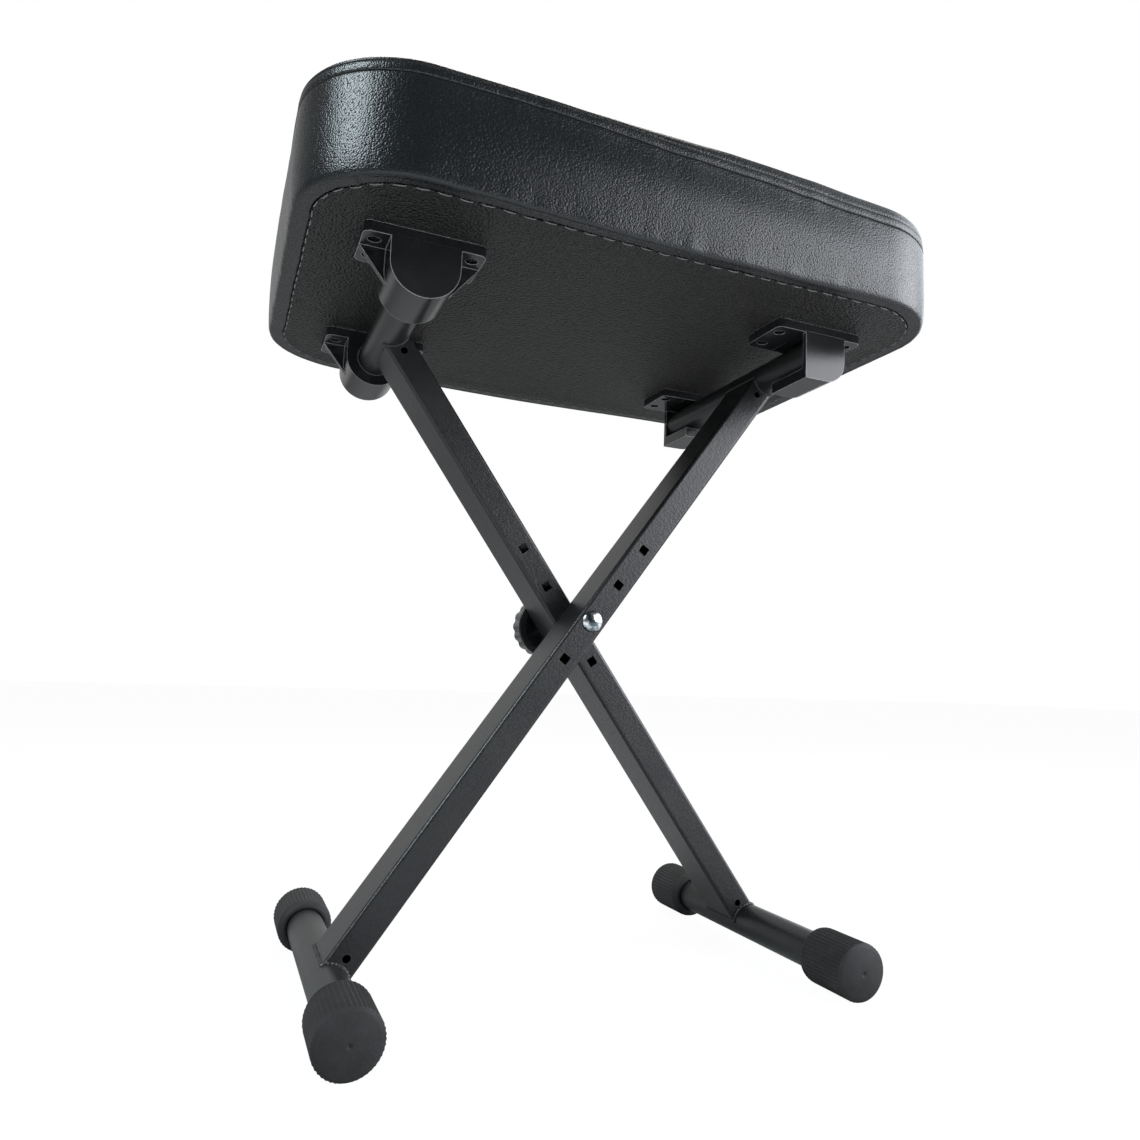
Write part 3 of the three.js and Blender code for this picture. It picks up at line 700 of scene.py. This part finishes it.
def bracketPiece(name, kind):
    reach, socket = bracket["reach"], bracket["socket"]
    if kind == "cup":
        outline = [(reach, socket + past), (-reach, socket + past), *arc(0, 0, reach, 180, 360, 40)]
        wallX = math.sqrt(reach ** 2 - bracket["gussetFoot"] ** 2)
        gussets = [gussetPiece(-1, wallX), gussetPiece(1, wallX)]
    else:
        corner = bracket["hookCorner"]
        outline = [(-bracket["mouth"], socket + past), (-bracket["mouth"], -reach),
                   *arc(reach - corner, corner - reach, corner, 270, 360, 14), (reach, socket + past)]
        gussets = [gussetPiece(1, reach)]
    piece = prism(name, outline, 0, bracket["depth"])
    combine(piece, [flangePiece(), *gussets], "UNION")
    cuts = [pin("socket", socket, bracket["endWall"], bracket["depth"] + past, 72)]
    if kind == "hook":
        cuts.append(block("mouth", (-bracket["mouth"] - past, bracket["endWall"], -socket),
                          (0, bracket["depth"] + past, socket)))
    for x, y in screwPlaces():
        through = pin("hole", bracket["screwHole"], 0, 2 * bracket["flange"], 24, "z")
        cuts.append(moved(through, (x, y, socket - past)))
        sunk = pin("hole", bracket["sunkHole"], 0, bracket["sunkDepth"] + past, 32, "z")
        cuts.append(moved(sunk, (x, y, socket - past)))
    combine(piece, cuts, "DIFFERENCE")
    softenEdges(piece, bracket["edge"], 3, 35.0)
    return piece


screw = lengths(head=3.7, headHeight=2.2, shank=2, length=16, slot=0.8, slotLength=4.4, slotDepth=1.3)


def screwPiece(name):
    head, height = screw["head"], screw["headHeight"]
    profile = [(0.1 * mm, 0), (head * 0.35, 0.08 * mm), (head * 0.65, 0.3 * mm), (head * 0.88, 0.75 * mm),
               (head, 1.4 * mm), (head, height), (screw["shank"], height)]
    profile += [(screw["shank"], height + screw["length"] - 3 * mm), (0.1 * mm, height + screw["length"])]
    piece = stacked(name, turned(profile, 32))
    piece.data.transform(Matrix.Rotation(math.radians(90.0), 4, "X"))
    slots = [block("slot", (-screw["slotLength"] / 2, -screw["slot"] / 2, -past),
                   (screw["slotLength"] / 2, screw["slot"] / 2, screw["slotDepth"])) for _ in (0, 1)]
    slots[1].data.transform(Matrix.Rotation(math.radians(90.0), 4, "Z"))
    combine(piece, slots, "DIFFERENCE")
    return piece


for kind in ("cup", "hook"):
    for end, sign in (("front", -1), ("back", 1)):
        node = f"{kind}_bracket_{end}"
        axis = cupTube if kind == "cup" else hookTube
        piece = bracketPiece(node + "_shell", kind)
        if sign > 0:
            piece.data.transform(Matrix.Scale(-1.0, 4, (0, 1, 0)))
            piece.data.flip_normals()
        moved(piece, (axis.x, outerFace(node, sign), axis.z))
        dress(piece, "bracketPlastic", "seat", [node], 50.0)
        for number in range(1, 5):
            screwNode = f"{node}_screw_{number}"
            centre, face = middleOf(screwNode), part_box(screwNode)[0].z
            driven = Matrix.Rotation(math.radians(25.0 * number + 10.0 * sign), 4, "Z")
            head = moved(screwPiece(screwNode + "_shell"), (centre.x, centre.y, face), driven)
            dress(head, "blackScrew", "seat", [screwNode])
print("brackets and screws made")


# Padded seat

seat = {"around": 720, "fill": 0.85,
        **lengths(halfLength=227.6, halfWidth=177, corner=70, shift=2.2, crownStart=72.9, crownTop=78.4,
                  crownInset=8.4, bottomInset=9.6, bottomHeight=13.9)}


def seatOutline(inset, height, size=1.0, count=None):
    count = count or seat["around"]
    halfLength, halfWidth = seat["halfLength"] - inset, seat["halfWidth"] - inset
    radius = max(seat["corner"] - inset, 1 * mm)
    straightX, straightY = halfLength - radius, halfWidth - radius
    quarter = math.pi * radius / 2
    runs = [2 * straightY, quarter, 2 * straightX, quarter] * 2
    ring = []
    for step in range(count):
        travel = sum(runs) * step / count
        part = 0
        while part < 7 and travel > runs[part]:
            travel -= runs[part]
            part += 1
        share = travel / runs[part]
        side = part // 2  # right, back, left, front, each followed by its corner
        turn = Matrix.Rotation(math.radians(90.0 * side), 2)
        across, along = (halfLength, straightY) if side % 2 == 0 else (halfWidth, straightX)
        if part % 2 == 0:
            local = Vector((across, -along + 2 * along * share))
        else:
            angle = math.pi / 2 * share
            local = Vector((across - radius, along)) + radius * Vector((math.cos(angle), math.sin(angle)))
        flat = turn @ local
        ring.append(Vector((flat.x * size + seat["shift"], flat.y * size, height)))
    return ring


# The cushion's section in millimetres, from under the panel round the hem and up over the roll:
# inset, height and how freely the cover swells there
sidePath = [(9.6, 1.45, 0), (13.2, 1.4, 0), (12.8, 1.35, 0), (12.3, 1.2, 0), (11.7, 0.75, 0),
            (11.2, 0.45, 0), (10.0, 0.4, 0), (7.5, 0.5, 0), (5.6, 0.45, 0), (4.6, 0.2, 0), (3.9, 0.0, 0),
            (3.2, 0.05, 0), (2.5, 0.4, 0), (1.9, 1.0, 0), (1.4, 2.0, 0.05), (1.0, 3.6, 0.2),
            (0.65, 6.5, 0.4), (0.3, 11.0, 0.6), (0.05, 17.0, 0.9), (0.0, 24.0, 1), (0.0, 31.0, 1),
            (0.0, 38.0, 1), (0.05, 45.0, 0.8), (0.12, 50.0, 0.5), (0.2, 53.5, 0.2), (0.3, 55.6, 0.05),
            (0.6, 56.6, 0), (1.0, 56.9, 0), (1.4, 57.05, 0), (1.0, 57.2, 0), (0.55, 57.5, 0),
            (0.25, 58.3, 0), (0.2, 60.0, 0), (0.3, 61.6, 0), (0.6, 62.5, 0), (0.95, 62.8, 0),
            (1.3, 63.0, 0), (1.0, 63.2, 0), (0.75, 63.7, 0), (0.8, 64.8, 0), (1.2, 66.4, 0.1),
            (2.2, 68.4, 0.2), (3.8, 70.2, 0.3), (5.9, 71.8, 0.4), (8.4, 72.9, 0.5)]
# The crown, as a share of the outline and of the height above the roll
crownPath = [(0.985, 0.08), (0.97, 0.17), (0.945, 0.29), (0.91, 0.41), (0.86, 0.54), (0.8, 0.66),
             (0.72, 0.77), (0.62, 0.86), (0.5, 0.93), (0.36, 0.975), (0.2, 0.995), (0.05, 1.0)]
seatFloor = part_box("seat_underside_cover")[0].z
swell = {"pressure": 4.0, "quality": 5, "frames": 20, "near": 48, "around": 160,
         **lengths(voxel=6, smaller=1.2, most=5, blur=13, heldBelow=4, heldFrom=54, heldTo=66, heldEdge=60)}


def crownRings(inset, low, top, count=None):
    return [seatOutline(inset, low + (top - low) * rise, size, count) for size, rise in crownPath]


def padForm():  # a plain, slightly smaller pad for the cloth simulation
    path = [(12.0, 0.0), (5.0, 0.0), (2.0, 3.0), (0.4, 11.0), (0.0, 24.0), (0.0, 40.0), (0.4, 55.0),
            (0.6, 60.0), (1.2, 66.0), (3.8, 70.0), (8.4, 72.8)]
    count = swell["around"]
    rings = [seatOutline(path[0][0] * mm, 0.0, size, count) for size in (0.03, 0.4, 0.8)]
    rings += [seatOutline(inset * mm + swell["smaller"], height * mm, 1.0, count) for inset, height in path]
    top = seat["crownTop"] - 2 * swell["smaller"]
    rings += crownRings(seat["crownInset"] + swell["smaller"], seat["crownStart"], top, count)
    return stacked("pad_form", rings)


def swollenPad():  # where the cloth's points start, and how far the air pressure moves them
    form = padForm()
    reshape(form, "REMESH", mode="VOXEL", voxel_size=swell["voxel"])
    held = form.vertex_groups.new(name="held")
    for point in form.data.vertices:
        height = point.co.z
        inside = max(abs(point.co.x) - seat["halfLength"], abs(point.co.y) - seat["halfWidth"])
        seam = inside > -swell["heldEdge"] and swell["heldFrom"] < height < swell["heldTo"]
        if height < swell["heldBelow"] or seam:
            held.add([point.index], 1.0, "REPLACE")
    rest = [point.co.copy() for point in form.data.vertices]
    cloth = form.modifiers.new("air", "CLOTH")
    cloth.settings.quality = swell["quality"]
    cloth.settings.vertex_group_mass = "held"
    cloth.settings.use_pressure = True
    cloth.settings.uniform_pressure_force = swell["pressure"]
    cloth.settings.effector_weights.gravity = 0.0
    for number in range(1, swell["frames"] + 1):
        stageScene.frame_set(number)
    graph = bpy.context.evaluated_depsgraph_get()
    blown = form.evaluated_get(graph).to_mesh()
    shifts = [point.co - start for point, start in zip(blown.vertices, rest)]
    stageScene.frame_set(1)
    bpy.data.objects.remove(form)
    return rest, [shift * min(1.0, swell["most"] / max(shift.length, 1e-9)) for shift in shifts]


def swellPoints(rings, gives):
    rest, shifts = swollenPad()
    tree = KDTree(len(rest))
    for index, point in enumerate(rest):
        tree.insert(point, index)
    tree.balance()
    for ring, give in zip(rings, gives):
        if give == 0:
            continue
        for point in ring:
            total, weight = Vector(), 0.0
            for _, index, distance in tree.find_n(point, swell["near"]):
                share = math.exp(-(distance / swell["blur"]) ** 2)
                total += shifts[index] * share
                weight += share
            point += total / weight * give


hem = {"waveScale": 55.0, "puckerScale": 190.0, "joinAt": (-201.8 * mm, -166 * mm),
       "joinTo": (-179.4 * mm, -138 * mm),
       **lengths(wave=0.45, pucker=0.28, reach=14, seamHeight=57, seamReach=9, joinDepth=1.3,
                 joinEdge=0.8, joinFade=9)}
# How far, in millimetres, the top seam and the rolled edge rise from their level and the hem hangs
# below its own, at places along the seat; and the heights over which that fades in and out
drift = {"seam": [(-230, 3.3), (-160, 3.5), (-100, 4.9), (-60, 4.2), (0, 2.6), (56, 2.1), (94, 0.7),
                  (131, -0.8), (175, -1.4), (230, -1.5)],
         "roll": [(-230, 0.0), (-100, 0.3), (-47, 1.2), (0, 2.4), (35, 3.5), (95, 3.0), (139, 1.7),
                  (186, 0.8), (230, 0.6)],
         "sag": [(-160, 0.0), (0, 1.8), (160, 0.0)],
         **lengths(seamFrom=15, seamRise=40, seamFall=9.6, rollFrom=63, rollRise=6, sagReach=12)}


def readOff(knots, x):  # a smooth curve through (place, value) pairs
    place = x / mm
    before = max([knot for knot in knots if knot[0] <= place] or knots[:1])
    after = min([knot for knot in knots if knot[0] > place] or knots[-1:])
    share = min(1.0, max(0.0, (place - before[0]) / max(after[0] - before[0], 1.0)))
    return (before[1] + (after[1] - before[1]) * share * share * (3 - 2 * share)) * mm


def towardFront(place):  # 1 at the front of the seat, less at the back
    return 0.65 - 0.35 * place.y / seat["halfWidth"]


def unevenness(place, height):
    rise = (height - drift["seamFrom"]) / drift["seamRise"]
    fall = (seat["crownStart"] - height) / drift["seamFall"]
    seam = min(1.0, max(0.0, min(rise, fall)))
    roll = min(1.0, max(0.0, (height - drift["rollFrom"]) / drift["rollRise"]))
    low = max(0.0, 1.0 - height / drift["sagReach"])
    raised = readOff(drift["seam"], place.x) * seam + readOff(drift["roll"], place.x) * roll
    return raised * towardFront(place) - readOff(drift["sag"], place.x) * low


def handMade(point, height):  # the small unevenness of a sewn and folded cover
    flat = Vector((point.x, point.y, 0.0))
    outward = flat.normalized()
    low = max(0.0, 1.0 - height / hem["reach"])
    seam = math.exp(-((height - hem["seamHeight"]) / hem["seamReach"]) ** 2)
    wave = hem["wave"] * noise.noise(point * hem["waveScale"])
    pucker = hem["pucker"] * noise.noise(flat * hem["puckerScale"])
    point += outward * (wave * (low + 0.7 * seam + 0.25) + pucker * (low + 0.5 * seam))
    point.z += 0.5 * wave * low + 0.35 * wave * seam + unevenness(flat, height)
    start, end = Vector((*hem["joinAt"], 0.0)), Vector((*hem["joinTo"], 0.0))
    along = end - start
    share = (flat - start).dot(along) / along.length_squared
    away = along.cross(flat - start).z / along.length
    if height < 1 * mm and 0 < share < 1 and away > -hem["joinEdge"]:  # one leaf laps over the other
        lap = min(1.0, (away + hem["joinEdge"]) / (2 * hem["joinEdge"]))
        lap *= math.exp(-max(0.0, away) / hem["joinFade"])
        point.z -= hem["joinDepth"] * lap * math.sin(math.pi * share) ** 0.5


def cushionPiece():
    inner = [seatOutline(seat["bottomInset"], seat["bottomHeight"], size)
             for size in (0.02, 0.4, 0.8, 0.97, 1.0)]
    side = [seatOutline(inset * mm, height * mm) for inset, height, give in sidePath]
    top = crownRings(seat["crownInset"], seat["crownStart"], seat["crownTop"])
    for ring in side:
        for point in ring:
            handMade(point, point.z)
    for ring in top:
        for point in ring:
            point.z += readOff(drift["roll"], point.x) * towardFront(point)
    gives = [give for inset, height, give in sidePath] + [0.6 + 0.4 * rise for size, rise in crownPath]
    swellPoints(side + top, gives)
    return moved(stacked("seat_cushion", inner + side + top), (0, 0, seatFloor))


cushion = cushionPiece()
dress(cushion, "leatherette", "seat", ["seat_foam", "seat_side_band", "seat_top_cover"],
      60.0)


# The underside panel's section in millimetres, from its hidden face round its edge: inset and height
panelPath = [(12.9, 1.3), (12.75, 1.1), (12.7, 0.7), (12.9, 0.25), (13.4, 0.02), (14.5, 0.0),
             (17.0, 0.1), (20.0, 0.12), (24.0, 0.12)]


def undersidePiece():
    hidden, shown = [(inset * mm, height * mm) for inset, height in (panelPath[0], panelPath[-1])]
    rings = [seatOutline(*hidden, size) for size in (0.02, 0.5, 0.97)]
    rings += [seatOutline(inset * mm, height * mm) for inset, height in panelPath]
    rings += [seatOutline(*shown, size) for size in (0.95, 0.9, 0.8, 0.65, 0.45, 0.25, 0.02)]
    for ring in rings[5:12]:  # the edge follows the hem
        for point in ring:
            handMade(point, 0.0)
    return moved(stacked("seat_underside_panel", rings), (0, 0, seatFloor))


panel = undersidePiece()
dress(panel, "undersideLeatherette", "seat", ["seat_underside_cover"], 60.0)
print("seat made")


def stitchRow(name, look):
    line = seatOutline(look["inset"], look["height"], 1.0, 2 * seat["around"])
    for point in line:
        handMade(point, look["height"])
    runs = [0.0]
    for step in range(1, len(line) + 1):
        runs.append(runs[-1] + (line[step % len(line)] - line[step - 1]).length)
    total = runs[-1]
    number = round(total / look["pitch"])
    points, faces = [], []
    place, parts, sides = 0, 8, 8
    for stitch in range(number):
        start = total * stitch / number
        rings = []
        for step in range(parts + 1):
            share = step / parts
            travel = start + look["length"] * share
            while runs[place + 1] < travel and place < len(line) - 1:
                place += 1
            local = (travel - runs[place]) / max(runs[place + 1] - runs[place], 1e-9)
            a, b = line[place], line[(place + 1) % len(line)]
            along = (b - a).normalized()
            up = Vector(look["out"]) if look["out"] else along.cross(Vector((0, 0, 1)))
            bulge = math.sin(math.pi * share) ** 0.5
            centre = a.lerp(b, local) - up * look["dip"] * (1 - bulge)
            size = look["thread"] * (0.4 + 0.6 * bulge) * (1 + 0.12 * math.sin(travel / mm * 5.5))
            rings.append(hoop(centre, along.cross(up), up, size, sides))
        first = len(points)
        ringPoints, ringFaces = ringed(rings)
        points += ringPoints
        faces += [tuple(first + index for index in face) for face in ringFaces]
        last = first + parts * sides
        faces += [tuple(range(first + sides - 1, first - 1, -1)), tuple(range(last, last + sides))]
        place = max(0, place - parts)
    return moved(newPiece(name, points, faces), (0, 0, seatFloor))


stitches = {
    "underside_stitching": {
        "finish": "stitchThread", "out": (0, 0, -1),
        **lengths(inset=12.95, height=0.1, pitch=12.5, length=9, thread=0.42, dip=0.7)},
    "seam_stitching": {
        "finish": "seamThread", "out": None,
        **lengths(inset=0.5, height=57.7, pitch=5, length=3.6, thread=0.2, dip=0.3)},
}
for name, look in stitches.items():
    dress(stitchRow(name, look), look["finish"], "seat")


# What stays from the frame
for node, finish in (("leg_spacer", "whiteNylon"), ("knob_washer", "brightZinc"),
                     ("knob_insert", "brightZinc"), ("seat_board", "rawPlywood")):
    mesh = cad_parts[node].data
    mesh.materials.clear()
    mesh.materials.append(finishes[finish])


# Floor, lights and camera

# paintedShade is the plain floor's colour below and behind the bench, painted darker for the shade there
ground = {"size": 12.0, "pale": (0.8, 0.8, 0.8), "paintedShade": (0.42, 0.42, 0.42), "from": -0.45, "to": 0.1,
          "white": 1.09, "whiteShare": 0.88}  # the rest of that share is plain floor, for the shadow


def floorFinish():
    finish = Finish("paleFloor")
    behind = finish.axis(finish.place(), "Y").ramp(ground["from"], ground["to"])
    # painted shade: the plain floor is coloured darker below and behind the bench, where shade falls
    shade = finish.mix(behind, ground["pale"], ground["paintedShade"])  # darker below and behind the bench
    plain = finish.node("ShaderNodeBsdfDiffuse", {}, {"Color": shade})
    glow = {"Color": (1.0, 1.0, 1.0), "Strength": ground["white"]}
    white = finish.node("ShaderNodeEmission", {}, glow)
    share = finish.seen() * ground["whiteShare"]
    mixed = finish.node("ShaderNodeMixShader", {}, {0: share, 1: plain, 2: white})
    finish.put(finish.output.inputs["Surface"], mixed)
    return finish.material


corners = [(x * ground["size"], y * ground["size"], 0) for x, y in ((-1, -1), (1, -1), (1, 1), (-1, 1))]
floor = newPiece("floor", corners, [(0, 1, 2, 3)])
floor.data.materials.append(floorFinish())

# How bright the room is to the front, to the back, at a window on the right and behind the bench,
# and the directions between which each of them sets in
studio = {"front": 0.06, "back": 0.17, "right": 2.3, "backdrop": 0.34, "gloss": 0.06,
          "turn": (-0.8, 0.8), "window": (0.5, 0.78), "windowEnd": (0.8, 1.0), "windowFade": 0.7,
          "backdropEdge": (0.6, 0.95), "windowTint": (0.84, 0.92, 1.0)}


def studioRoom():
    world = bpy.data.worlds.new("studio")
    room = Finish("studio", world)
    way = room.node("ShaderNodeTexCoord", out="Generated")
    across, forward = room.axis(way, "X"), room.axis(way, "Y")
    window = across.ramp(*studio["window"]) * (1 - across.ramp(*studio["windowEnd"]) * studio["windowFade"])
    plain = forward.ramp(*studio["turn"]) * (studio["back"] - studio["front"]) + studio["front"]
    plain = plain + window * studio["right"] + forward.ramp(*studio["backdropEdge"]) * studio["backdrop"]
    gloss = room.node("ShaderNodeLightPath", out="Is Glossy Ray")
    seen = room.seen()
    strength = seen + (1 - seen) * (plain + gloss * studio["gloss"])
    tint = room.mix(window * (1 - seen), (1.0, 1.0, 1.0), studio["windowTint"])
    light = room.node("ShaderNodeBackground", {}, {"Color": tint, "Strength": strength})
    room.put(room.output.inputs["Surface"], light)
    stageScene.world = world


studioRoom()
lamps = [
    {"name": "windowLeft", "at": (-1.6, -0.56, 1.54), "size": (0.7, 1.0), "power": 32.0,
     "colour": (0.82, 0.95, 1.0)},
    {"name": "windowRight", "at": (1.64, -1.15, 0.93), "size": (2.2, 1.2), "power": 45.0,
     "colour": (0.93, 0.95, 1.0)},
    {"name": "ceiling", "at": (0.1, 0.7, 2.3), "size": (1.4, 1.4), "power": 26.0,
     "colour": (1.0, 0.97, 0.93)},
]
aim = Vector((0.0, 0.0, 0.4))
for lamp in lamps:
    light = bpy.data.lights.new(lamp["name"], "AREA")
    light.shape = "RECTANGLE"
    light.size, light.size_y = lamp["size"]
    light.energy = lamp["power"]
    light.color = lamp["colour"]
    holder = bpy.data.objects.new(lamp["name"], light)
    holder.location = lamp["at"]
    holder.rotation_euler = (aim - holder.location).to_track_quat("-Z", "Y").to_euler()
    stageScene.collection.objects.link(holder)

camera = {"at": (-0.24406, -0.64315, 0.20573), "yaw": 0.446, "pitch": 0.138, "roll": 0.030,
          "focal": 901.97, "centre": (647.34, 556.54), "image": 1140.0, "sensor": 36.0}


def placeCamera():
    lens = bpy.data.cameras.new("camera")
    lens.sensor_width = camera["sensor"]
    lens.lens = camera["sensor"] * camera["focal"] / camera["image"]
    lens.shift_x = (camera["image"] / 2 - camera["centre"][0]) / camera["image"]
    lens.shift_y = (camera["centre"][1] - camera["image"] / 2) / camera["image"]
    lens.clip_start, lens.clip_end = 0.01, 100.0
    yaw, pitch = camera["yaw"], camera["pitch"]
    forward = Vector((math.sin(yaw) * math.cos(pitch), math.cos(yaw) * math.cos(pitch), math.sin(pitch)))
    level = Vector((math.cos(yaw), -math.sin(yaw), 0.0))
    above = level.cross(forward)
    cosine, sine = math.cos(camera["roll"]), math.sin(camera["roll"])
    right, up = level * cosine + above * sine, above * cosine - level * sine
    holder = bpy.data.objects.new("camera", lens)
    turn = Matrix((right, up, -forward)).transposed().to_4x4()
    holder.matrix_world = Matrix.Translation(camera["at"]) @ turn
    stageScene.collection.objects.link(holder)
    stageScene.camera = holder


placeCamera()
stageScene.view_settings.view_transform = "Standard"

print("scene done")
